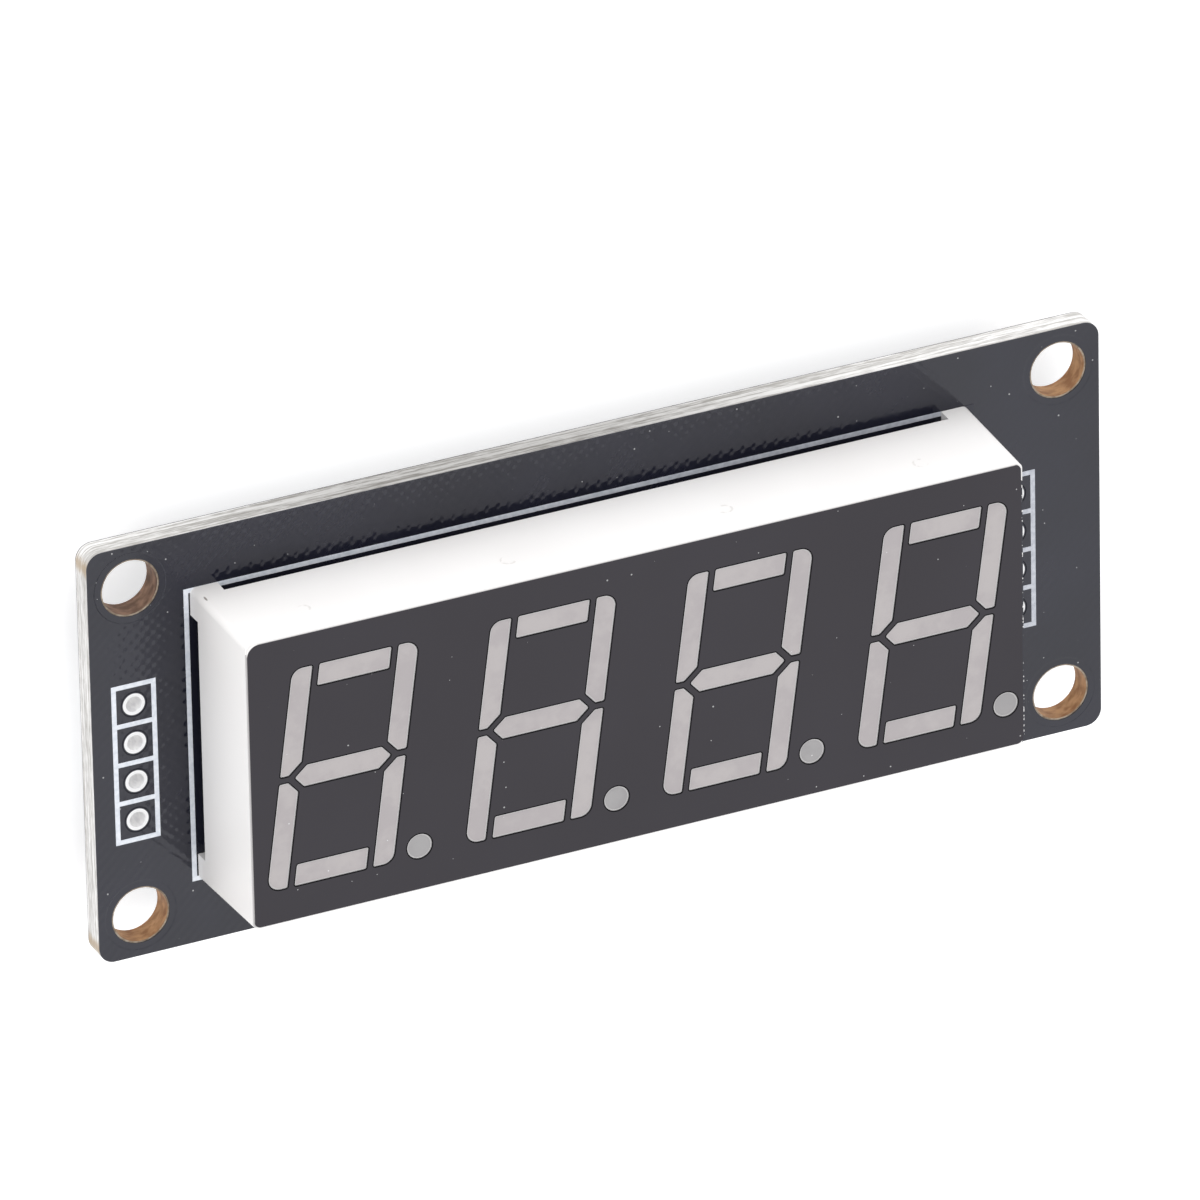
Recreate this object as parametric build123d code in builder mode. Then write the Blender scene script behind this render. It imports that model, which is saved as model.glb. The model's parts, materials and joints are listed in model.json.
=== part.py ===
from build123d import *
import math
import os

# Seven segment display module: a four-digit display soldered on a black circuit board.
# It lies on its back. X runs along the digits, Y up the digits, Z out of the display's face.
# The origin is the centre of the mounting-hole pattern on the board's rear face. Millimetres.

# Digits, measured on the display's face
digit_count = 4
digit_pitch = 12.7
digit_height = 14.2
digit_width = 8.08
digit_slant = 8.0
vertical_bar = 1.3
horizontal_bar = 1.4
segment_gap = 0.44
segment_corner = 0.75
point_diameter = 1.6
point_side_gap = 0.8
point_base_drop = 0.15

# Display housing
face_margin_x = 0.375
face_margin_y = 2.275
wall_draft_x = 0.125
wall_draft_y = 0.275
display_height = 7.5
housing_corner = 0.4
foot_size = 1.75
foot_height = 1.0
housing_wall = 1.0
film_thickness = 0.05
film_inset = 0.1
window_tip = 0.12
window_rim = 0.08
well_draft = 0.3

# Inside the display
potting_depth = 0.4
led_board_thickness = 1.0
led_board_clearance = 0.1
die_size = 0.3
die_height = 0.2

# Display pins
pin_pitch = 2.54
pins_per_row = 6
pin_row_inset = 2.03
pin_width = 0.5
pin_tail = 1.3
pin_hole = 0.9
pin_pad = 1.6
solder_height = 0.9
solder_neck = 0.4
solder_sweep = 1.2

# Main board
margin_left = 6.45
margin_right = 8.65
margin_top = 3.63
margin_bottom = 4.07
board_thickness = 1.6
board_corner = 1.0
hole_inset = 2.7
hole_diameter = 3.5
hole_mask_clearance = 0.1
mask_thickness = 0.05
pad_mask_clearance = 0.06
plating = 0.05

# Header rows at the board's two ends
header_pitch = 2.54
header_count = 4
header_inset_left = 2.7
header_inset_right = 5.7
header_drop = 0.65
header_hole = 1.0
header_pad = 1.55

# Printed legend
legend_thickness = 0.02
legend_line = 0.3
outline_clearance = 0.4

# Driver chip, a 20-lead wide small-outline package
chip_length = 12.8
chip_width = 7.5
chip_height = 2.35
chip_standoff = 0.15
chip_draft = 0.12
chip_dimple = 0.9
chip_dimple_depth = 0.1
lead_count = 10
lead_pitch = 1.27
lead_width = 0.42
lead_thickness = 0.25
lead_shoulder = 0.4
lead_foot = 0.8
lead_bend = 0.2
lead_lean = 0.2
lead_pad_length = 1.9
lead_pad_width = 0.6

# Small parts beside the chip
small_length = 1.6
small_width = 0.8
small_terminal = 0.3
resistor_height = 0.45
capacitor_height = 0.8
small_pad_overhang = 0.25
small_part_gap = 3.6
small_part_step = 2.4
small_frame_margin = 0.35

os.makedirs("parts", exist_ok=True)

# Sizes and places worked out from the ones above
face_length = digit_count * digit_pitch - 2 * face_margin_x
face_width = digit_height + 2 * face_margin_y
foot_length = face_length + 2 * wall_draft_x
foot_width = face_width + 2 * wall_draft_y
board_length = margin_left + foot_length + margin_right
board_width = margin_bottom + foot_width + margin_top
display_x = (margin_left - margin_right) / 2
display_y = (margin_bottom - margin_top) / 2
hole_spacing_x = board_length - 2 * hole_inset
hole_spacing_y = board_width - 2 * hole_inset

seat_z = board_thickness + legend_thickness
face_z = seat_z + display_height
housing_front_z = face_z - film_thickness
housing_rear_z = seat_z + foot_height
led_board_z = housing_rear_z + potting_depth
well_floor_z = led_board_z + led_board_thickness
core_rear_z = mask_thickness
core_front_z = board_thickness - mask_thickness

header_left_x = -board_length / 2 + header_inset_left
header_right_x = board_length / 2 - header_inset_right
pin_row_spacing = foot_width - 2 * pin_row_inset
recess_length = foot_length - 2 * housing_wall
recess_width = foot_width - 2 * housing_wall
chip_middle_z = -chip_standoff - chip_height / 2


def slanted(x, y):
    """Leans a point of an upright digit by the digits' slant"""
    return x + y * math.tan(math.radians(digit_slant)), y


def segment_points(letter):
    """Corners of one segment about the digit's centre, upright, outer corner first"""
    outer = digit_width / 2
    inner = outer - vertical_bar
    top = digit_height / 2
    bar = horizontal_bar
    half_bar = bar / 2
    half_gap = segment_gap / 2
    tip = outer - vertical_bar / 2 - segment_gap / math.sqrt(2)
    notch = tip + segment_gap * math.sqrt(2)
    side = inner - segment_gap
    bars = {
        "a": [(-side, top), (side, top), (side, top - bar), (-side, top - bar)],
        "g": [(-tip, 0), (half_bar - tip, half_bar), (tip - half_bar, half_bar), (tip, 0),
              (tip - half_bar, -half_bar), (half_bar - tip, -half_bar)],
        "b": [(outer, top), (inner, top), (inner, notch - inner),
              (notch - half_gap, half_gap), (outer, half_gap)],
    }
    if letter == "d":
        return [(-x, -y) for x, y in bars["a"]]
    if letter == "f":
        return [(-x, y) for x, y in bars["b"]]
    if letter == "c":
        return [(x, -y) for x, y in bars["b"]]
    if letter == "e":
        return [(-x, -y) for x, y in bars["b"]]
    return bars[letter]


def point_place(digit_x):
    """Centre of a digit's decimal point"""
    radius = point_diameter / 2
    drop = digit_height / 2 + point_base_drop - radius
    x, y = slanted(digit_width / 2 + point_side_gap + radius, -drop)
    return digit_x + x, display_y + y


def window(letter, digit_x, height, inset, rounding=0):
    """Outline of a segment or decimal point at a height, drawn in by an inset, its tips rounded"""
    if letter == "point":
        with BuildSketch(Plane.XY.offset(height)) as outline:
            with Locations(point_place(digit_x)):
                Circle(point_diameter / 2 - inset)
        return outline.sketch
    corners = [slanted(x, y) for x, y in segment_points(letter)]
    corners = [(digit_x + x, display_y + y) for x, y in corners]
    with BuildSketch(Plane.XY.offset(height)) as outline:
        with BuildLine():
            Polyline(*corners, close=True)
        make_face()
        tips = outline.vertices().sort_by_distance((*corners[0], 0))
        if rounding:
            fillet(tips[1:] if letter in "bcef" else tips, rounding)
        if letter in "bcef":
            fillet(outline.vertices().sort_by_distance((*corners[0], 0))[0], segment_corner)
        if inset:
            offset(amount=-inset, kind=Kind.INTERSECTION, mode=Mode.REPLACE)
    return outline.sketch


def light_well(letter, digit_x):
    """Tapered well behind a window, as a solid, and the middle of its floor"""
    front = window(letter, digit_x, housing_front_z, window_rim)
    rear = window(letter, digit_x, well_floor_z, window_rim + well_draft)
    with BuildPart() as well:
        loft(sections=[front, rear], ruled=True)
    return well.part, rear.face().center()


def finish(builder, name):
    """Labels a sub-part and writes its STEP file"""
    builder.part.label = name
    export_step(builder.part, f"parts/{name}.step")


digit_places = [display_x + (k - (digit_count - 1) / 2) * digit_pitch for k in range(digit_count)]
letters = ["a", "b", "c", "d", "e", "f", "g", "point"]
wells = {
    (number, letter): light_well(letter, digit_x)
    for number, digit_x in enumerate(digit_places, start=1)
    for letter in letters
}

hole_places = GridLocations(hole_spacing_x, hole_spacing_y, 2, 2).locations
header_span = (header_count - 1) * header_pitch
header_ys = [-header_drop + header_span / 2 - k * header_pitch for k in range(header_count)]
header_left = [(header_left_x, y) for y in header_ys]
header_right = [(header_right_x, y) for y in header_ys]
pin_span = (pins_per_row - 1) * pin_pitch
pin_places = [
    (display_x - pin_span / 2 + k * pin_pitch, display_y + side * pin_row_spacing / 2)
    for side in (-1, 1)
    for k in range(pins_per_row)
]

# Rear parts are placed round the chip, which sits behind the middle of the display
lead_places = [
    (display_x + (k - (lead_count - 1) / 2) * lead_pitch, side)
    for side in (-1, 1)
    for k in range(lead_count)
]
first_lead_x = display_x - (lead_count - 1) / 2 * lead_pitch
lead_span = chip_width + 2 * (lead_shoulder + lead_lean + lead_foot)
lead_pad_y = lead_span / 2 - lead_foot / 2
small_x = chip_length / 2 + small_part_gap
resistor_places = [
    (display_x - small_x, display_y + (k - 0.5) * small_part_step) for k in range(2)
]
capacitor_places = [
    (display_x + small_x, display_y + (k - 1) * small_part_step) for k in range(3)
]
small_places = resistor_places + capacitor_places
small_pad_x = (small_length - small_terminal) / 2
small_pad_length = small_terminal + 2 * small_pad_overhang
small_frame_length = small_length + 2 * (small_pad_overhang + small_frame_margin)
small_frame_width = small_width + 2 * small_frame_margin
small_pad_places = [(x + side * small_pad_x, y) for x, y in small_places for side in (-1, 1)]

# Board core, with every hole drilled to the outside of its plating
with BuildPart() as circuit_board:
    with BuildSketch(Plane.XY.offset(core_rear_z)):
        RectangleRounded(board_length, board_width, board_corner)
        with Locations(*hole_places):
            Circle(hole_diameter / 2, mode=Mode.SUBTRACT)
        with Locations(*header_left, *header_right):
            Circle(header_hole / 2 + plating, mode=Mode.SUBTRACT)
        with Locations(*pin_places):
            Circle(pin_hole / 2 + plating, mode=Mode.SUBTRACT)
    extrude(amount=core_front_z - core_rear_z)
finish(circuit_board, "circuit_board")

# Front mask, open round the mounting holes and pads
with BuildPart() as solder_mask_front:
    with BuildSketch(Plane.XY.offset(core_front_z)):
        RectangleRounded(board_length, board_width, board_corner)
        with Locations(*hole_places):
            Circle(hole_diameter / 2 + hole_mask_clearance, mode=Mode.SUBTRACT)
        with Locations(*header_left, *header_right):
            Circle(header_pad / 2 + pad_mask_clearance, mode=Mode.SUBTRACT)
        with Locations(*pin_places):
            Circle(pin_pad / 2 + pad_mask_clearance, mode=Mode.SUBTRACT)
    extrude(amount=mask_thickness)
finish(solder_mask_front, "solder_mask_front")

# Rear mask, open as well round the pads of the chip and the small parts
with BuildPart() as solder_mask_rear:
    with BuildSketch():
        RectangleRounded(board_length, board_width, board_corner)
        with Locations(*hole_places):
            Circle(hole_diameter / 2 + hole_mask_clearance, mode=Mode.SUBTRACT)
        with Locations(*header_left, *header_right):
            Circle(header_pad / 2 + pad_mask_clearance, mode=Mode.SUBTRACT)
        with Locations(*pin_places):
            Circle(pin_pad / 2 + pad_mask_clearance, mode=Mode.SUBTRACT)
        with Locations(*[(x, display_y + side * lead_pad_y) for x, side in lead_places]):
            Rectangle(
                lead_pad_width + 2 * pad_mask_clearance,
                lead_pad_length + 2 * pad_mask_clearance,
                mode=Mode.SUBTRACT,
            )
        with Locations(*small_pad_places):
            Rectangle(
                small_pad_length + 2 * pad_mask_clearance,
                small_width + 2 * pad_mask_clearance,
                mode=Mode.SUBTRACT,
            )
    extrude(amount=mask_thickness)
finish(solder_mask_rear, "solder_mask_rear")


def hole_plating(places, bore, pad):
    """Tinned barrels with a ring on each face of the board"""
    with BuildPart() as barrels:
        with BuildSketch(Plane.XY.offset(core_rear_z)):
            with Locations(*places):
                Circle(bore / 2 + plating)
                Circle(bore / 2, mode=Mode.SUBTRACT)
        extrude(amount=core_front_z - core_rear_z)
        for level in (0, core_front_z):
            with BuildSketch(Plane.XY.offset(level)):
                with Locations(*places):
                    Circle(pad / 2)
                    Circle(bore / 2, mode=Mode.SUBTRACT)
            extrude(amount=mask_thickness)
    return barrels


finish(hole_plating(header_left, header_hole, header_pad), "header_plating_left")
finish(hole_plating(header_right, header_hole, header_pad), "header_plating_right")
finish(hole_plating(pin_places, pin_hole, pin_pad), "display_hole_plating")

# Tinned pads of the chip and the small parts on the board's rear
with BuildPart() as surface_pads:
    with BuildSketch():
        with Locations(*[(x, display_y + side * lead_pad_y) for x, side in lead_places]):
            Rectangle(lead_pad_width, lead_pad_length)
        with Locations(*small_pad_places):
            Rectangle(small_pad_length, small_width)
    extrude(amount=mask_thickness)
finish(surface_pads, "surface_pads")


def header_box(x):
    """Legend box of a header row, with a line between its cells"""
    with BuildSketch() as box:
        with Locations((x, -header_drop)):
            Rectangle(header_pitch + legend_line, header_count * header_pitch + legend_line)
            with GridLocations(0, header_pitch, 1, header_count):
                Rectangle(
                    header_pitch - legend_line,
                    header_pitch - legend_line,
                    mode=Mode.SUBTRACT,
                )
    return box.sketch


# Front legend: the display's outline and the two header boxes
with BuildPart() as legend_front:
    with BuildSketch(Plane.XY.offset(board_thickness)):
        with Locations((display_x, display_y)):
            Rectangle(foot_length + 2 * outline_clearance, foot_width)
            Rectangle(
                foot_length + 2 * (outline_clearance - legend_line),
                foot_width - 2 * legend_line,
                mode=Mode.SUBTRACT,
            )
        add(header_box(header_left_x))
        add(header_box(header_right_x))
    extrude(amount=legend_thickness)
finish(legend_front, "legend_front")

# Rear legend: the header boxes, a bar at each end of the chip with a dot at its first lead,
# and a frame round each small part
with BuildPart() as legend_rear:
    with BuildSketch(Plane.XY.offset(-legend_thickness)):
        add(header_box(header_left_x))
        add(header_box(header_right_x))
        with Locations((display_x, display_y)):
            with GridLocations(chip_length + 2 * legend_line, 0, 2, 1):
                Rectangle(legend_line, chip_width)
        with Locations((first_lead_x - lead_pitch, display_y - lead_pad_y)):
            Circle(legend_line)
        with Locations(*small_places):
            Rectangle(small_frame_length + legend_line, small_frame_width + legend_line)
            Rectangle(
                small_frame_length - legend_line,
                small_frame_width - legend_line,
                mode=Mode.SUBTRACT,
            )
    extrude(amount=legend_thickness)
finish(legend_rear, "legend_rear")

# Moulded reflector housing: drafted walls, four corner feet, an open rear for the LED board
# and one tapered light well behind each window
with BuildPart() as display_housing:
    with BuildSketch(Plane.XY.offset(seat_z)):
        with Locations((display_x, display_y)):
            RectangleRounded(foot_length, foot_width, housing_corner)
    with BuildSketch(Plane.XY.offset(housing_front_z)):
        with Locations((display_x, display_y)):
            RectangleRounded(face_length, face_width, housing_corner)
    loft(ruled=True)
    with BuildSketch(Plane.XY.offset(seat_z)):
        with Locations((display_x, display_y)):
            Rectangle(foot_length - 2 * foot_size, foot_width + 2 * foot_size)
            Rectangle(foot_length + 2 * foot_size, foot_width - 2 * foot_size)
    extrude(amount=foot_height, mode=Mode.SUBTRACT)
    with BuildSketch(Plane.XY.offset(housing_rear_z)):
        with Locations((display_x, display_y)):
            RectangleRounded(recess_length, recess_width, housing_corner)
    extrude(amount=well_floor_z - housing_rear_z, mode=Mode.SUBTRACT)
    add([well for well, floor in wells.values()], mode=Mode.SUBTRACT)
finish(display_housing, "display_housing")

# Black layer on the display's face, open at every window
with BuildPart() as face_film:
    with BuildSketch(Plane.XY.offset(housing_front_z)):
        with Locations((display_x, display_y)):
            RectangleRounded(
                face_length - 2 * film_inset,
                face_width - 2 * film_inset,
                housing_corner,
            )
        for digit_x in digit_places:
            add([window(letter, digit_x, 0, 0, window_tip) for letter in letters], mode=Mode.SUBTRACT)
    extrude(amount=film_thickness)
finish(face_film, "face_film")

# Resin that fills each light well, with a pocket round the LED die on its floor
for (number, letter), (well, floor) in wells.items():
    with BuildPart() as fill:
        add(well)
        with Locations(floor):
            Box(die_size, die_size, 2 * die_height, mode=Mode.SUBTRACT)
    kind = "point" if letter == "point" else f"segment_{letter}"
    finish(fill, f"digit_{number}_{kind}")

# LED dies, one on the carrier board below every window
with BuildPart() as led_dies:
    with BuildSketch(Plane.XY.offset(well_floor_z)):
        with Locations(*[(floor.X, floor.Y) for well, floor in wells.values()]):
            Rectangle(die_size, die_size)
    extrude(amount=die_height)
finish(led_dies, "led_dies")

# Carrier board of the LED dies, in the housing's recess
with BuildPart() as led_board:
    with BuildSketch(Plane.XY.offset(led_board_z)):
        with Locations((display_x, display_y)):
            RectangleRounded(
                recess_length - 2 * led_board_clearance,
                recess_width - 2 * led_board_clearance,
                housing_corner,
            )
        with Locations(*pin_places):
            Rectangle(pin_width, pin_width, mode=Mode.SUBTRACT)
    extrude(amount=led_board_thickness)
finish(led_board, "led_board")

# Potting resin that closes the housing's rear
with BuildPart() as potting_resin:
    with BuildSketch(Plane.XY.offset(housing_rear_z)):
        with Locations((display_x, display_y)):
            RectangleRounded(recess_length, recess_width, housing_corner)
        with Locations(*pin_places):
            Rectangle(pin_width, pin_width, mode=Mode.SUBTRACT)
    extrude(amount=potting_depth)
finish(potting_resin, "potting_resin")

# Display pins, from the carrier board through the main board, trimmed behind it
with BuildPart() as display_pins:
    with BuildSketch(Plane.XY.offset(-pin_tail)):
        with Locations(*pin_places):
            Rectangle(pin_width, pin_width)
    extrude(amount=pin_tail + well_floor_z)
finish(display_pins, "display_pins")

# One soldered joint: the barrel filled round the pin and a hollow-sided cone behind the board
with BuildPart() as joint:
    with BuildSketch(Plane.XZ):
        with BuildLine():
            Polyline(
                (solder_neck, -solder_height),
                (0, -solder_height),
                (0, board_thickness),
                (pin_hole / 2, board_thickness),
                (pin_hole / 2, 0),
                (pin_pad / 2, 0),
            )
            RadiusArc((pin_pad / 2, 0), (solder_neck, -solder_height), -solder_sweep)
        make_face()
    revolve(axis=Axis.Z)
    Box(pin_width, pin_width, 2 * (board_thickness + solder_height), mode=Mode.SUBTRACT)

with BuildPart() as pin_solder:
    with Locations(*pin_places):
        add(joint.part)
finish(pin_solder, "pin_solder")

# Driver chip: moulded body, widest at its parting line, with a dimple at its first lead
with BuildPart() as driver_chip:
    for level, draft in (
        (-chip_standoff, chip_draft),
        (chip_middle_z, 0),
        (-chip_standoff - chip_height, chip_draft),
    ):
        with BuildSketch(Plane.XY.offset(level)):
            with Locations((display_x, display_y)):
                Rectangle(chip_length - 2 * draft, chip_width - 2 * draft)
    loft(ruled=True)
    with BuildSketch(Plane.XY.offset(-chip_standoff - chip_height)):
        with Locations((first_lead_x, display_y - chip_width / 2 + lead_pitch)):
            Circle(chip_dimple / 2)
    extrude(amount=chip_dimple_depth, mode=Mode.SUBTRACT)
finish(driver_chip, "driver_chip")

# One gull-wing lead, bent from a strip
with BuildPart() as lead:
    with BuildSketch(Plane.YZ):
        with BuildLine():
            FilletPolyline(
                (chip_width / 2, chip_middle_z),
                (chip_width / 2 + lead_shoulder, chip_middle_z),
                (lead_span / 2 - lead_foot, -lead_thickness / 2),
                (lead_span / 2, -lead_thickness / 2),
                radius=lead_bend,
            )
        trace(line_width=lead_thickness)
    extrude(amount=lead_width / 2, both=True)

with BuildPart() as driver_chip_leads:
    for x, side in lead_places:
        with Locations(Location((x, display_y, 0), (0, 0, 90 - 90 * side))):
            add(lead.part)
finish(driver_chip_leads, "driver_chip_leads")


def small_part(places, height, name):
    """Ceramic bodies and metal end caps of a set of small parts"""
    body_length = small_length - 2 * small_terminal
    with BuildPart() as bodies:
        with BuildSketch():
            with Locations(*places):
                Rectangle(body_length, small_width)
        extrude(amount=-height)
    finish(bodies, f"{name}_bodies")
    with BuildPart() as caps:
        with BuildSketch():
            with Locations(*places):
                with GridLocations(small_length - small_terminal, 0, 2, 1):
                    Rectangle(small_terminal, small_width)
        extrude(amount=-height)
    finish(caps, f"{name}_end_caps")


small_part(resistor_places, resistor_height, "resistor")
small_part(capacitor_places, capacitor_height, "capacitor")
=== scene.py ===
import json
import math

import bmesh
import bpy
from mathutils import Matrix, Vector


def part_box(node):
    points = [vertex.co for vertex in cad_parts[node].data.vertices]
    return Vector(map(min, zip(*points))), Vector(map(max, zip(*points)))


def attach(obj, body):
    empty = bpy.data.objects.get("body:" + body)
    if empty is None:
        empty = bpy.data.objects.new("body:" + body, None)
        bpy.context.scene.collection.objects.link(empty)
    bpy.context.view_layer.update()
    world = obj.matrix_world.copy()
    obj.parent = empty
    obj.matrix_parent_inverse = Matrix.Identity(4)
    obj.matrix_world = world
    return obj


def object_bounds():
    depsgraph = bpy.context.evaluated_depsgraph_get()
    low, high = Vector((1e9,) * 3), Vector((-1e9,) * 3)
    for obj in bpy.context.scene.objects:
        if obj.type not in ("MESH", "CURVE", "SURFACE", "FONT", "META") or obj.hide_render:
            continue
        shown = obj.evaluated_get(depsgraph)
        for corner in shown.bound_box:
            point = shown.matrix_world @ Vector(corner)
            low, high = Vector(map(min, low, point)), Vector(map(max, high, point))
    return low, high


# Looks of the seven segment display module. Metres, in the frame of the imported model:
# X along the digits, Y up the digits, Z out of the display's face, which looks up.
# Lengths on the object are millimetres, and MM turns them into metres.

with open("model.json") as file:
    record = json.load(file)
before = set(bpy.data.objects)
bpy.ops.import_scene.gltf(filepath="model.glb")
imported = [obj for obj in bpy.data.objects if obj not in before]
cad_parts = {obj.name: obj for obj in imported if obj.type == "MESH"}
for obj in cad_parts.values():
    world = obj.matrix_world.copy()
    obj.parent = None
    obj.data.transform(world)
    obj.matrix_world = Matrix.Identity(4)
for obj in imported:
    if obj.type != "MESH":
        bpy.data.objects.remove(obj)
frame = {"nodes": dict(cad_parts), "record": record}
cad_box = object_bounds()
MM = 0.001


def box_mm(name):
    """Corners of a node's box in millimetres"""
    low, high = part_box(name)
    return low / MM, high / MM


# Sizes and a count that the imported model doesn't list
header_count = 4
header_bore_r = 0.5
header_ring_r = 0.7
foot_size = 1.75

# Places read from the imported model
mount = frame["record"]["mounts"][0]["dims"]
mount_x = mount["spacing_x_mm"] / 2
mount_y = mount["spacing_y_mm"] / 2
mount_r = mount["hole_r_mm"]
board_low, board_high = box_mm("circuit_board")
film_low, film_high = box_mm("face_film")
housing_right = box_mm("display_housing")[1].x
row_low, row_high = box_mm("header_plating_left")
row_far_low, row_far_high = box_mm("header_plating_right")
header_pad = row_high.x - row_low.x
header_pitch = (row_high.y - row_low.y - header_pad) / (header_count - 1)
header_xs = ((row_low.x + row_high.x) / 2, (row_far_low.x + row_far_high.x) / 2)
header_y = row_low.y + header_pad / 2

# Distances from a mounting hole's axis: the wall's tone fades from the first to the second, the
# rim's from the second to the third, and the copper under the mask rises from the fourth, over
# the width of its slope
wall_ends = mount_r + 0.12
rim_fades = mount_r + 0.2
rim_ends = mount_r + 0.3
copper_starts = mount_r + 0.48
copper_slope = 0.08

# Copper hatch under the mask: one strand to the next, along X or Y
hatch_pitch = 0.72

# Distances from a header hole's axis: its barrel's tone fades into the ring's over the first, past
# the bore, and the laminate takes the mask's tone up to the second and none of it from the third
header_bore_fade = 0.04
header_mask_full = 1.0
header_mask_none = 1.1

# Faint rings of the mould on the housing's upper side: their X, the Z they share and their radius
mark_xs = (-21.3, -8.2, 5.8, 18.5)
mark_z = 6.6
mark_r = 0.42

# Short upright scratch on the housing's upper side
scratch_x = -25.9
scratch_z = 3.1
scratch_squash = 0.25

# Black layer: the radius that its upper left corner looks rounded to, and how far its windows
# keep at least from its upper and lower edges and from its right-hand edge
film_corner_r = 0.75
window_margin_y = 0.5
window_margin_x = 0.3

# Housing's right lip, beside the black layer: it is all black up to the first from the layer's
# edge, and bare along the second at its upper end
lip_overlap = 0.05
bare_lip = 1.1

# How far under its height a face still counts as the housing's front or the board's top, and the
# distance past the black layer over which the tones of the housing's upper side come in
front_slack = 0.01
top_slack = 0.005
side_fade = 0.1

# Board's edge: X of its darkest place, and how far in from the board's side a tan corner lies
darkest_edge_x = -7.0
tan_corner = 1.0

# Half the width over which one painted tone turns into another
paint_edge = 0.01

# Largest radius of a speck of dust
speck_r = 0.055

# Node helpers


def new_material(name):
    """An empty node material and its tree"""
    material = bpy.data.materials.new(name)
    material.use_nodes = True
    material.node_tree.nodes.clear()
    return material, material.node_tree


def add(tree, kind, **settings):
    """A node with its properties set by name"""
    node = tree.nodes.new(kind)
    for key, value in settings.items():
        setattr(node, key, value)
    return node


def plug(tree, socket, value):
    """Puts a number, a colour or another node's socket on a socket"""
    if isinstance(value, (int, float)):
        socket.default_value = value
    elif isinstance(value, tuple):
        socket.default_value = (*value, 1)
    else:
        tree.links.new(value, socket)


def combine(tree, operation, first, *others):
    """A math operation on sockets or numbers, one after another"""
    result = first
    for other in others:
        node = add(tree, "ShaderNodeMath", operation=operation)
        plug(tree, node.inputs[0], result)
        plug(tree, node.inputs[1], other)
        result = node.outputs[0]
    return result


def change(tree, operation, value):
    """A math operation on one socket"""
    node = add(tree, "ShaderNodeMath", operation=operation)
    plug(tree, node.inputs[0], value)
    return node.outputs[0]


def plus(tree, *values):
    """Sum of sockets or numbers"""
    return combine(tree, "ADD", *values)


def minus(tree, first, second):
    """A socket or number less another"""
    return combine(tree, "SUBTRACT", first, second)


def times(tree, *values):
    """Product of sockets or numbers"""
    return combine(tree, "MULTIPLY", *values)


def above(tree, value, limit):
    """1 where a value is over a limit, 0 elsewhere"""
    return combine(tree, "GREATER_THAN", value, limit)


def below(tree, value, limit):
    """1 where a value is under a limit, 0 elsewhere"""
    return combine(tree, "LESS_THAN", value, limit)


def size_of(tree, value):
    """A value without its sign"""
    return change(tree, "ABSOLUTE", value)


def gap(tree, value, place):
    """How far a value is from a place, to either side"""
    return size_of(tree, minus(tree, value, place))


def mixed(tree, first, second, share):
    """Two values added up, the first by its share and the second by the rest"""
    return plus(tree, times(tree, first, share), times(tree, second, 1 - share))


def reach(tree, along, across):
    """Length of a vector with two parts"""
    squares = plus(tree, times(tree, along, along), times(tree, across, across))
    return change(tree, "SQRT", squares)


def place_mm(tree, stretch=(1, 1, 1)):
    """Position on the object in millimetres, stretched by three factors"""
    coordinates = add(tree, "ShaderNodeTexCoord")
    mapping = add(tree, "ShaderNodeMapping")
    mapping.inputs["Scale"].default_value = [factor / MM for factor in stretch]
    tree.links.new(coordinates.outputs["Object"], mapping.inputs["Vector"])
    return mapping.outputs["Vector"]


def axes_mm(tree):
    """The three coordinates in millimetres, as separate sockets"""
    parts = add(tree, "ShaderNodeSeparateXYZ")
    tree.links.new(place_mm(tree), parts.inputs[0])
    return parts.outputs[0], parts.outputs[1], parts.outputs[2]


def noise(tree, cells, detail=2, stretch=(1, 1, 1)):
    """Noise with a number of cells per millimetre"""
    node = add(tree, "ShaderNodeTexNoise")
    node.inputs["Scale"].default_value = cells
    node.inputs["Detail"].default_value = detail
    tree.links.new(place_mm(tree, stretch), node.inputs["Vector"])
    return node.outputs["Fac"]


def grade(tree, value, low, high, low_out=0.0, high_out=1.0):
    """Goes smoothly from one output to another as a value crosses from low to high"""
    node = add(tree, "ShaderNodeMapRange", interpolation_type="SMOOTHSTEP")
    node.inputs["From Min"].default_value = low
    node.inputs["From Max"].default_value = high
    node.inputs["To Min"].default_value = low_out
    node.inputs["To Max"].default_value = high_out
    tree.links.new(value, node.inputs["Value"])
    return node.outputs["Result"]


def blend(tree, factor, first, second):
    """Mixes two colours by a factor"""
    node = add(tree, "ShaderNodeMix", data_type="RGBA")
    plug(tree, node.inputs[0], factor)
    plug(tree, node.inputs[6], first)
    plug(tree, node.inputs[7], second)
    return node.outputs[2]


def uneven(tree, value, dark, light, dark_at=0.3, light_at=0.7):
    """Colour that goes from dark to light as a noise goes between two levels"""
    return blend(tree, grade(tree, value, dark_at, light_at), dark, light)


def bump(tree, height, distance, strength=1.0):
    """Normal from a height, of which 1 stands for a distance in millimetres"""
    node = add(tree, "ShaderNodeBump")
    node.inputs["Strength"].default_value = strength
    node.inputs["Distance"].default_value = distance * MM
    tree.links.new(height, node.inputs["Height"])
    return node.outputs["Normal"]


def shade(tree, color, roughness, normal=None, **fixed):
    """Principled shader on the output; numbers and colours in fixed go straight on its sockets"""
    shader = add(tree, "ShaderNodeBsdfPrincipled")
    output = add(tree, "ShaderNodeOutputMaterial")
    tree.links.new(shader.outputs[0], output.inputs[0])
    plug(tree, shader.inputs["Base Color"], color)
    plug(tree, shader.inputs["Roughness"], roughness)
    if normal is not None:
        plug(tree, shader.inputs["Normal"], normal)
    for name, value in fixed.items():
        plug(tree, shader.inputs[name.replace("_", " ")], value)


# Distances and specks on the object, as sockets


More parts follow.
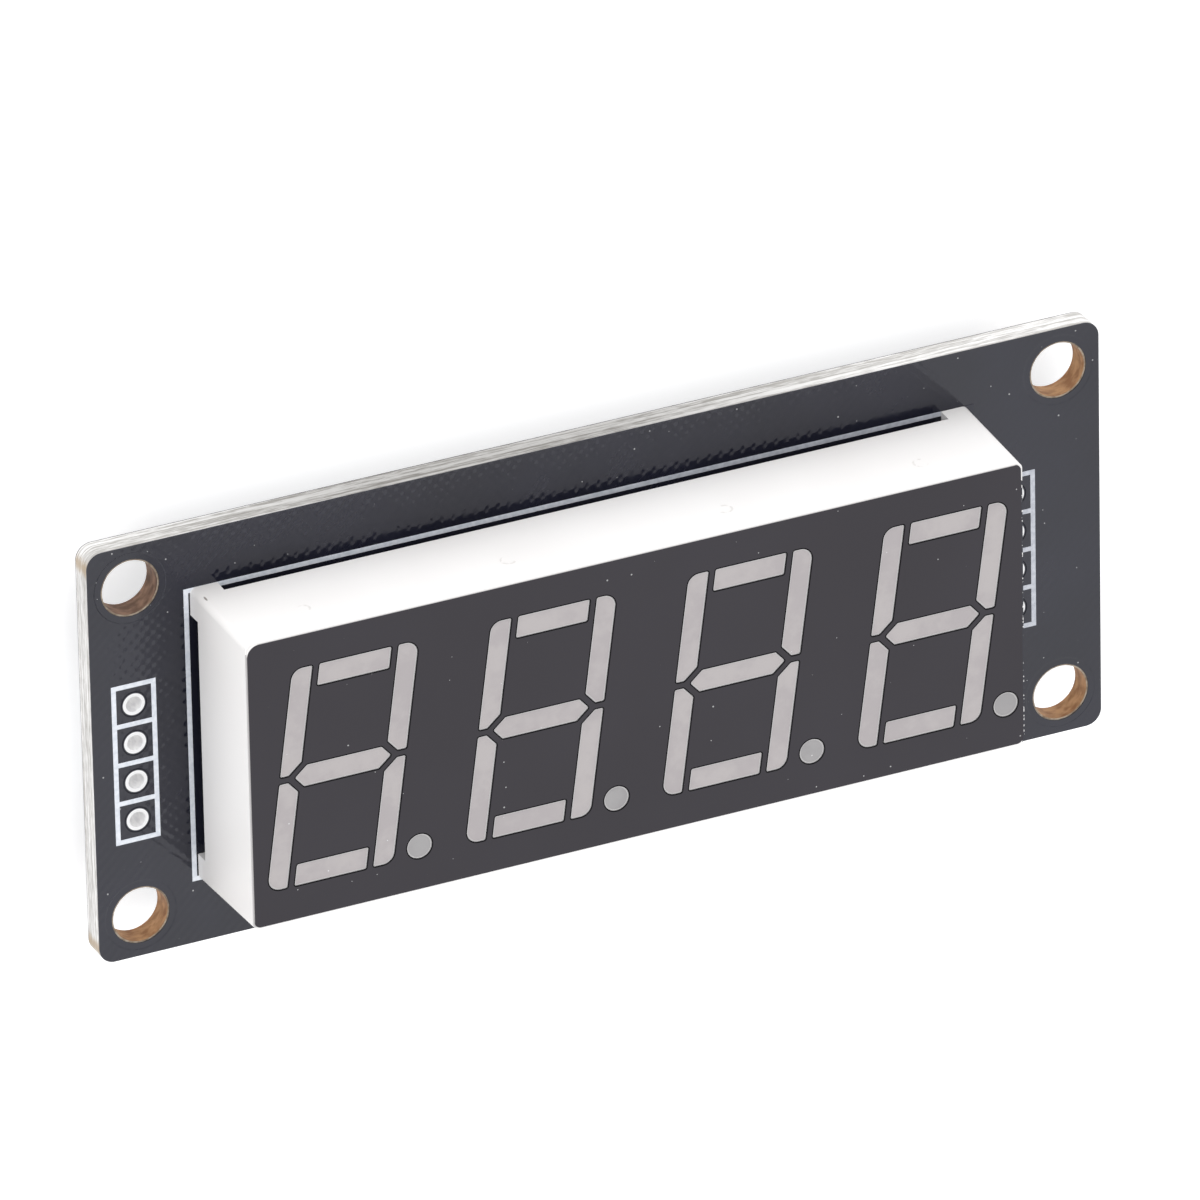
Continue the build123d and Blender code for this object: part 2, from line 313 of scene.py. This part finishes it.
def mount_distance(tree):
    """Distance from the axis of the nearest mounting hole"""
    x, y = axes_mm(tree)[:2]
    along = minus(tree, size_of(tree, x), mount_x)
    across = minus(tree, size_of(tree, y), mount_y)
    return reach(tree, along, across)


def header_distance(tree):
    """Distance from the axis of the nearest header hole"""
    x, y = axes_mm(tree)[:2]
    steps = combine(tree, "DIVIDE", minus(tree, y, header_y), header_pitch)
    row = change(tree, "ROUND", steps)
    row = combine(tree, "MINIMUM", combine(tree, "MAXIMUM", row, 0.0), header_count - 1.0)
    across = times(tree, minus(tree, steps, row), header_pitch)
    sides = [gap(tree, x, place) for place in header_xs]
    return reach(tree, combine(tree, "MINIMUM", *sides), across)


def specks(tree, cells, share):
    """1 on sparse small specks of dust on a face that looks up, 0 elsewhere"""
    cell = add(tree, "ShaderNodeTexVoronoi", feature="F1", voronoi_dimensions="2D")
    cell.inputs["Scale"].default_value = cells
    tree.links.new(place_mm(tree), cell.inputs["Vector"])
    pick = add(tree, "ShaderNodeSeparateColor")
    tree.links.new(cell.outputs["Color"], pick.inputs[0])
    limit = times(tree, pick.outputs[1], speck_r * cells)
    near = below(tree, cell.outputs["Distance"], limit)
    chosen = below(tree, pick.outputs[0], share)
    return times(tree, near, chosen)


# Materials

mask_dark = (0.0080, 0.0084, 0.0165)
mask_light = (0.0118, 0.0124, 0.0235)
dust_on_black = (0.36, 0.36, 0.36)
dust_on_resin = (0.64, 0.64, 0.64)


def hatch(tree):
    """Copper hatch under the mask: 0 in its openings, rising to 1 where its strands cross"""
    x, y = axes_mm(tree)[:2]
    half_turn = 0.5
    strands = []
    for operation in ("ADD", "SUBTRACT"):
        turns = combine(tree, "DIVIDE", combine(tree, operation, x, y), hatch_pitch)
        wave = combine(tree, "PINGPONG", turns, half_turn)
        strands.append(grade(tree, wave, low=0.0, high=half_turn, low_out=1.0, high_out=0.0))
    return times(tree, plus(tree, *strands), 1 / len(strands))


def mask_material():
    """Black glossy solder mask over hatched copper, with a low step round the mounting holes"""
    material, tree = new_material("solder_mask")
    x = axes_mm(tree)[0]
    on_copper = grade(tree, mount_distance(tree), low=copper_starts, high=copper_starts + copper_slope)
    patchy = grade(tree, noise(tree, cells=0.9), low=0.36, high=0.6, low_out=0.35)
    fade = times(tree, grade(tree, x, low=6.0, high=22.0, low_out=0.8, high_out=0.3), patchy)
    copper = times(tree, hatch(tree), fade, on_copper)
    step = times(tree, on_copper, 0.5)
    grain = times(tree, noise(tree, cells=2.0), 0.2)
    height = plus(tree, copper, step, grain)
    tone = uneven(tree, noise(tree, cells=0.12, detail=3), mask_dark, mask_light)
    color = blend(tree, specks(tree, cells=0.9, share=0.16), tone, dust_on_black)
    rough = grade(tree, noise(tree, cells=0.5, detail=3), low=0.3, high=0.7, low_out=0.12, high_out=0.18)
    shade(tree, color, rough, bump(tree, height, distance=0.03), Specular_IOR_Level=0.5)
    return material


def bare_corner(tree):
    """1 where the black layer stops short of its upper left corner"""
    x, y = axes_mm(tree)[:2]
    along = combine(tree, "MAXIMUM", minus(tree, film_low.x + film_corner_r, x), 0.0)
    across = combine(tree, "MAXIMUM", minus(tree, y, film_high.y - film_corner_r), 0.0)
    return grade(tree, reach(tree, along, across), film_corner_r - paint_edge, film_corner_r + paint_edge)


def film_material():
    """Satin black layer of the display's face, with a bare white corner"""
    material, tree = new_material("face_layer")
    dark = (0.0105, 0.0070, 0.0130)
    light = (0.0135, 0.0100, 0.0170)
    bare = (0.88, 0.865, 0.85)
    tone = uneven(tree, noise(tree, cells=0.08, detail=3), dark, light)
    color = blend(tree, specks(tree, cells=0.6, share=0.2), tone, dust_on_black)
    color = blend(tree, bare_corner(tree), color, bare)
    normal = bump(tree, noise(tree, cells=9, detail=3), distance=0.003)
    shade(tree, color, roughness=0.3, normal=normal, Specular_IOR_Level=0.43)
    return material


def mould_marks(tree, x, z):
    """1 on the broken thin rings that the mould leaves on the housing's upper side"""
    aside = combine(tree, "MINIMUM", *[gap(tree, x, place) for place in mark_xs])
    off_ring = gap(tree, reach(tree, aside, minus(tree, z, mark_z)), mark_r)
    line = grade(tree, off_ring, low=0.03, high=0.1, low_out=1.0, high_out=0.0)
    return times(tree, line, grade(tree, noise(tree, cells=2.2), low=0.46, high=0.56))


def scratch(tree, x, z):
    """1 on the short upright scratch of the housing's upper side"""
    along = times(tree, minus(tree, z, scratch_z), scratch_squash)
    off_scratch = reach(tree, along, minus(tree, x, scratch_x))
    return grade(tree, off_scratch, low=0.04, high=0.08, low_out=1.0, high_out=0.0)


def window_rims(tree, x, y, front):
    """1 on the part of the housing's front that shows inside the windows of the black layer"""
    within = below(tree, size_of(tree, y), film_high.y - window_margin_y)
    return times(tree, front, within, below(tree, x, film_high.x - window_margin_x))


def black_lip(tree, x, y, front):
    """1 where black covers the housing's right lip, which has bare dots and a bare upper end"""
    lip = times(tree, front, above(tree, x, film_high.x - lip_overlap))
    covered = grade(tree, noise(tree, cells=4.5), low=0.36, high=0.43)
    covered = combine(tree, "MAXIMUM", covered, below(tree, x, film_high.x + lip_overlap))
    covered = times(tree, covered, below(tree, y, film_high.y - bare_lip))
    return times(tree, lip, covered)


def housing_material():
    """White moulded plastic; its front takes the fills' tone in the windows and black on the lip"""
    material, tree = new_material("housing_plastic")
    x, y, z = axes_mm(tree)
    mark_tone = (0.62, 0.59, 0.56)
    scratch_tone = (0.30, 0.27, 0.25)
    window_tone = (0.54, 0.525, 0.52)
    tone = uneven(tree, noise(tree, cells=0.1), (0.865, 0.845, 0.83), (0.895, 0.88, 0.867))
    upper_side = grade(tree, y, low=film_high.y, high=film_high.y + side_fade)
    marks = times(tree, mould_marks(tree, x, z), upper_side)
    tone = blend(tree, times(tree, marks, 0.5), tone, mark_tone)
    tone = blend(tree, times(tree, scratch(tree, x, z), upper_side), tone, scratch_tone)
    front = above(tree, z, film_low.z - front_slack)
    tone = blend(tree, window_rims(tree, x, y, front), tone, window_tone)
    tone = blend(tree, black_lip(tree, x, y, front), tone, mask_light)
    ripple = times(tree, noise(tree, cells=7), 0.12)
    height = plus(tree, noise(tree, cells=0.35), ripple, marks)
    normal = bump(tree, height, distance=0.02, strength=0.5)
    shade(tree, tone, roughness=0.42, normal=normal, Specular_IOR_Level=0.5)
    return material


def resin_material(name, dark, light):
    """Milky diffusing resin of the fills, clouded and a little dusty"""
    material, tree = new_material(name)
    clouds = mixed(tree, noise(tree, cells=0.3, detail=1), noise(tree, cells=1.5, detail=3), share=0.6)
    tone = uneven(tree, clouds, dark, light, dark_at=0.38, light_at=0.62)
    tone = blend(tree, specks(tree, cells=0.8, share=0.14), tone, dust_on_resin)
    normal = bump(tree, noise(tree, cells=1.2), distance=0.006)
    shade(tree, tone, roughness=0.38, normal=normal, Specular_IOR_Level=0.4)
    return material


def board_edge(tree, x, y, strands):
    """Tone of the board's edge: pale layers, darker along the middle and tan at the left corners"""
    tan = (0.40, 0.30, 0.19)
    layers = noise(tree, cells=1.0, detail=3, stretch=(0.12, 0.12, 6.0))
    weave = mixed(tree, layers, strands, share=0.55)
    pale = uneven(tree, weave, (0.44, 0.425, 0.40), (0.90, 0.89, 0.875), dark_at=0.37, light_at=0.62)
    dark_middle_tone = uneven(tree, weave, (0.17, 0.16, 0.145), (0.42, 0.41, 0.395), dark_at=0.40, light_at=0.58)
    middle = grade(tree, gap(tree, x, darkest_edge_x), low=6.0, high=30.0, low_out=0.85, high_out=0.0)
    inward = minus(tree, size_of(tree, y), board_high.y - tan_corner)
    corner = reach(tree, minus(tree, x, board_low.x), inward)
    corner = plus(tree, corner, times(tree, strands, 0.8))
    corner = grade(tree, corner, low=0.5, high=1.1, low_out=0.8, high_out=0.0)
    return blend(tree, corner, blend(tree, middle, pale, dark_middle_tone), tan)


def hole_wall(tree, x, y):
    """Tone of the mounting holes' brown walls, darker in the upper left one"""
    scorch = noise(tree, cells=1.3, detail=3, stretch=(1, 1, 1.8))
    dark = uneven(tree, scorch, (0.10, 0.050, 0.028), (0.26, 0.150, 0.095))
    warm = uneven(tree, scorch, (0.255, 0.118, 0.046), (0.48, 0.275, 0.130))
    right_half = grade(tree, x, low=0.0, high=1.0)
    lower_half = grade(tree, y, low=0.0, high=1.0, low_out=1.0, high_out=0.0)
    return blend(tree, combine(tree, "MAXIMUM", right_half, lower_half), dark, warm)


def laminate_material():
    """Glass-fibre board: layered edge, brown hole walls with a tan rim, dark round the header holes"""
    material, tree = new_material("glass_epoxy")
    x, y, z = axes_mm(tree)
    strands = noise(tree, cells=1.0, detail=4, stretch=(1.3, 1.3, 15.0))
    hole = mount_distance(tree)
    at_wall = grade(tree, hole, wall_ends, rim_fades, low_out=1.0, high_out=0.0)
    color = blend(tree, at_wall, board_edge(tree, x, y, strands), hole_wall(tree, x, y))
    rim = grade(tree, hole, rim_fades, rim_ends, low_out=1.0, high_out=0.0)
    rim = times(tree, above(tree, z, board_high.z - top_slack), rim)
    tan = uneven(tree, noise(tree, cells=3, detail=3), (0.19, 0.14, 0.095), (0.42, 0.35, 0.27))
    color = blend(tree, rim, color, tan)
    distance = header_distance(tree)
    under_mask = grade(tree, distance, header_mask_full, header_mask_none, low_out=1.0, high_out=0.0)
    color = blend(tree, under_mask, color, mask_light)
    relief = times(tree, strands, grade(tree, hole, wall_ends, rim_fades, low_out=0.3))
    normal = bump(tree, relief, distance=0.05, strength=0.7)
    shade(tree, color, roughness=0.62, normal=normal, Specular_IOR_Level=0.35)
    return material


def header_material():
    """Tinned header holes: a bright ring, a paler barrel with painted reflection streaks along its axis,
    and the mask over the ring's rim
    """
    material, tree = new_material("header_tin")
    ring_tone = (0.86, 0.86, 0.86)
    bare_to = header_ring_r - paint_edge
    covered_from = header_ring_r + paint_edge
    distance = header_distance(tree)
    # Streaks along the axis: painted reflection in the barrel's colour, and a slight relief
    sheen_streaks = noise(tree, cells=3.2, detail=3, stretch=(1, 1, 0.4))
    barrel = uneven(tree, sheen_streaks, (0.84, 0.835, 0.84), (0.98, 0.975, 0.97), dark_at=0.4, light_at=0.6)
    ring = grade(tree, distance, header_bore_r, header_bore_r + header_bore_fade)
    tone = blend(tree, ring, barrel, ring_tone)
    color = blend(tree, grade(tree, distance, bare_to, covered_from), tone, mask_light)
    rough = grade(tree, distance, bare_to, covered_from, low_out=0.36, high_out=0.15)
    normal = bump(tree, sheen_streaks, distance=0.03, strength=0.6)
    shade(tree, color, rough, normal, Specular_IOR_Level=0.5)
    return material


def tin_material(name, tone, roughness, stretch):
    """Tinned metal, a little streaked"""
    material, tree = new_material(name)
    marks = noise(tree, cells=3.5, detail=3, stretch=stretch)
    dark_share = 0.78
    color = uneven(tree, marks, tuple(part * dark_share for part in tone), tone)
    rough = grade(tree, marks, low=0.3, high=0.7, low_out=roughness, high_out=roughness + 0.12)
    shade(tree, color, rough, bump(tree, marks, distance=0.02, strength=0.6), Metallic=1.0)
    return material


def ink_material():
    """White legend ink; the outline beside the display's right feet takes the mask's colour"""
    material, tree = new_material("legend_ink")
    x = axes_mm(tree)[0]
    grain = noise(tree, cells=3, detail=3)
    dense = uneven(tree, grain, (0.68, 0.72, 0.78), (0.82, 0.85, 0.90))
    thin = uneven(tree, grain, (0.44, 0.46, 0.51), (0.56, 0.58, 0.63))
    tone = blend(tree, grade(tree, x, low=-15.0, high=15.0), dense, thin)
    from_feet = above(tree, x, housing_right - foot_size)
    beside = times(tree, from_feet, below(tree, x, housing_right + foot_size / 2))
    color = blend(tree, beside, tone, mask_light)
    rough = plus(tree, times(tree, beside, -0.35), 0.5)
    normal = bump(tree, noise(tree, cells=6), distance=0.01)
    shade(tree, color, rough, normal, Specular_IOR_Level=0.45)
    return material


def plain_material(name, dark, light, roughness, cells, relief, gloss=0.45):
    """Plastic, ceramic or resin with a grain"""
    material, tree = new_material(name)
    grain = noise(tree, cells, detail=3)
    tone = uneven(tree, grain, dark, light)
    shade(tree, tone, roughness, bump(tree, grain, relief), Specular_IOR_Level=gloss)
    return material


def floor_material():
    """Plain white ground with a weak even glow"""
    material, tree = new_material("floor")
    white = (1.0, 1.0, 1.0)
    tone = uneven(tree, noise(tree, cells=0.02), (0.69, 0.69, 0.69), (0.71, 0.71, 0.71))
    shade(
        tree, tone, roughness=0.7,
        Specular_IOR_Level=0.2, Emission_Color=white, Emission_Strength=0.6,
    )
    return material


tin = tin_material("tinned_copper", (0.86, 0.85, 0.84), roughness=0.28, stretch=(1, 1, 0.3))
solder = tin_material("solder", (0.82, 0.82, 0.81), roughness=0.2, stretch=(1, 1, 1))
mask = mask_material()
header_tin = header_material()
segment_resin = resin_material("segment_resin", (0.402, 0.371, 0.374), (0.448, 0.417, 0.413))
point_resin = resin_material("point_resin", (0.315, 0.304, 0.306), (0.345, 0.335, 0.335))
ink = ink_material()
led_laminate = plain_material(
    "led_board_laminate", (0.74, 0.71, 0.60), (0.82, 0.79, 0.68), roughness=0.6, cells=2.5, relief=0.01
)
die = plain_material(
    "led_die", (0.60, 0.55, 0.35), (0.75, 0.70, 0.48), roughness=0.2, cells=4, relief=0.01
)
potting = plain_material(
    "potting_resin", (0.72, 0.70, 0.63), (0.80, 0.78, 0.72), roughness=0.15, cells=0.8, relief=0.03
)
package = plain_material(
    "chip_package", (0.014, 0.014, 0.015), (0.026, 0.026, 0.028), roughness=0.5, cells=11, relief=0.012
)
coat = plain_material(
    "resistor_coat", (0.012, 0.012, 0.013), (0.02, 0.02, 0.022), roughness=0.25, cells=3, relief=0.01
)
ceramic = plain_material(
    "capacitor_ceramic", (0.36, 0.24, 0.13), (0.43, 0.30, 0.17), roughness=0.4, cells=6, relief=0.01
)
# Near-black for the bands of painted shade round the black layer's windows
painted_window_shade = plain_material(
    "painted_window_shade", (0.004, 0.004, 0.005), (0.007, 0.007, 0.008), roughness=0.8, cells=4, relief=0.0, gloss=0.1
)
by_node = {
    "circuit_board": laminate_material(),
    "led_board": led_laminate,
    "solder_mask_front": mask,
    "solder_mask_rear": mask,
    "header_plating_left": header_tin,
    "header_plating_right": header_tin,
    "display_hole_plating": tin,
    "surface_pads": tin,
    "legend_front": ink,
    "legend_rear": ink,
    "display_housing": housing_material(),
    "face_film": film_material(),
    "led_dies": die,
    "potting_resin": potting,
    "display_pins": tin,
    "pin_solder": solder,
    "driver_chip": package,
    "driver_chip_leads": tin,
    "resistor_bodies": coat,
    "resistor_end_caps": solder,
    "capacitor_bodies": ceramic,
    "capacitor_end_caps": solder,
}
for name, node in frame["nodes"].items():
    material = point_resin if name.endswith("_point") else by_node.get(name, segment_resin)
    node.data.materials.clear()
    node.data.materials.append(material)

# Painted shade: a narrow near-black band laid on the black layer round each window, where the layer's cut
# edge is in shadow

band_width = 0.07
band_lift = 0.004

# Points closer than this are one point, and heights closer than the second are one level
weld = 0.001
level_slack = 0.01

# A wall's normal has less Z than this, and every window lies further inside the layer than the second
wall_normal_z = 0.5
window_inset = 0.2


def walls_at(part):
    """Upright faces that meet at a vertex or an edge of the black layer"""
    return [face for face in part.link_faces if abs(face.normal.z) < wall_normal_z]


def into_film(vertex):
    """Direction from a window's edge into the black layer"""
    return -sum([face.normal for face in walls_at(vertex)], Vector()).normalized()


def round_window(edge):
    """Whether an edge runs round a window at the top of the black layer"""
    middle = (edge.verts[0].co + edge.verts[1].co) / (2 * MM)
    inset = min(
        middle.x - film_low.x, film_high.x - middle.x,
        middle.y - film_low.y, film_high.y - middle.y,
    )
    levels = [abs(vertex.co.z / MM - film_high.z) < level_slack for vertex in edge.verts]
    return all(levels) and len(walls_at(edge)) == 1 and inset > window_inset


def window_edge_shade():
    """Bands of painted shade that lie just on the black layer along every window's edge"""
    film = bmesh.new()
    film.from_mesh(frame["nodes"]["face_film"].data)
    bmesh.ops.remove_doubles(film, verts=film.verts, dist=weld * MM)
    film.normal_update()
    raised = Vector((0, 0, band_lift * MM))
    corners, bands = [], []
    for edge in film.edges:
        if not round_window(edge):
            continue
        first, second = edge.verts
        out_first = first.co + into_film(first) * band_width * MM
        out_second = second.co + into_film(second) * band_width * MM
        band = [first.co, second.co, out_second, out_first]
        turn = (second.co - first.co).cross(out_first - first.co).z
        bands.append(range(len(corners), len(corners) + len(band)))
        corners += [corner + raised for corner in (band if turn > 0 else band[::-1])]
    film.free()
    mesh = bpy.data.meshes.new("window_edge_shade")
    mesh.from_pydata(corners, [], [tuple(band) for band in bands])
    mesh.materials.append(painted_window_shade)
    piece = bpy.data.objects.new("window_edge_shade", mesh)
    bpy.context.scene.collection.objects.link(piece)
    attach(piece, "root")


window_edge_shade()

# Floor, which reaches this many metres from the origin to each side

floor_reach = 2.5
floor_corners = ((-1, -1), (1, -1), (1, 1), (-1, 1))
floor_mesh = bpy.data.meshes.new("floor")
floor_mesh.from_pydata(
    [(x * floor_reach, y * floor_reach, cad_box[0].z) for x, y in floor_corners],
    [],
    [(0, 1, 2, 3)],
)
floor_mesh.materials.append(floor_material())
floor = bpy.data.objects.new("floor", floor_mesh)
bpy.context.scene.collection.objects.link(floor)

# Light, and the point that the lights and the camera look at

target = Vector((-0.06, 2.73, 1.6)) * MM
sky = (0.98, 0.985, 1.0)
sky_strength = 1.0


def direction(azimuth, elevation):
    """Unit vector towards a place in the sky, azimuth from +X towards +Y"""
    a, e = math.radians(azimuth), math.radians(elevation)
    return Vector((math.cos(a) * math.cos(e), math.sin(a) * math.cos(e), math.sin(e)))


def softbox(name, azimuth, elevation, distance, size, radiance):
    """Square area light of a given radiance that looks at the target"""
    data = bpy.data.lights.new(name, "AREA")
    data.shape = "SQUARE"
    data.size = size
    data.energy = radiance * math.pi * size ** 2
    light = bpy.data.objects.new(name, data)
    towards = direction(azimuth, elevation)
    light.location = target + towards * distance
    light.rotation_euler = towards.to_track_quat("Z", "Y").to_euler()
    bpy.context.scene.collection.objects.link(light)


softbox("softbox_front", azimuth=-51.7, elevation=53.3, distance=0.9, size=1.0, radiance=0.45)
softbox("softbox_top", azimuth=95.0, elevation=30.0, distance=1.0, size=0.8, radiance=0.85)

world = bpy.data.worlds.new("studio")
world.use_nodes = True
background = world.node_tree.nodes["Background"]
background.inputs[0].default_value = (*sky, 1)
background.inputs[1].default_value = sky_strength
bpy.context.scene.world = world
bpy.context.scene.view_settings.view_transform = "Standard"

# Camera: angles in degrees, distance in metres, sensor and lens in millimetres

camera_azimuth = 128.256
camera_elevation = 53.347
camera_roll = 134.315
camera_distance = 1.13829
camera_data = bpy.data.cameras.new("camera")
camera_data.sensor_width = 36.0
camera_data.lens = 582.2
camera = bpy.data.objects.new("camera", camera_data)
back = direction(camera_azimuth, camera_elevation)
upright = (Vector((0, 0, 1)) - back * back.z).normalized()
up = Matrix.Rotation(math.radians(camera_roll), 3, back) @ upright
axes = Matrix((up.cross(back), up, back)).transposed().to_4x4()
camera.matrix_world = Matrix.Translation(target + back * camera_distance) @ axes
bpy.context.scene.collection.objects.link(camera)
bpy.context.scene.camera = camera
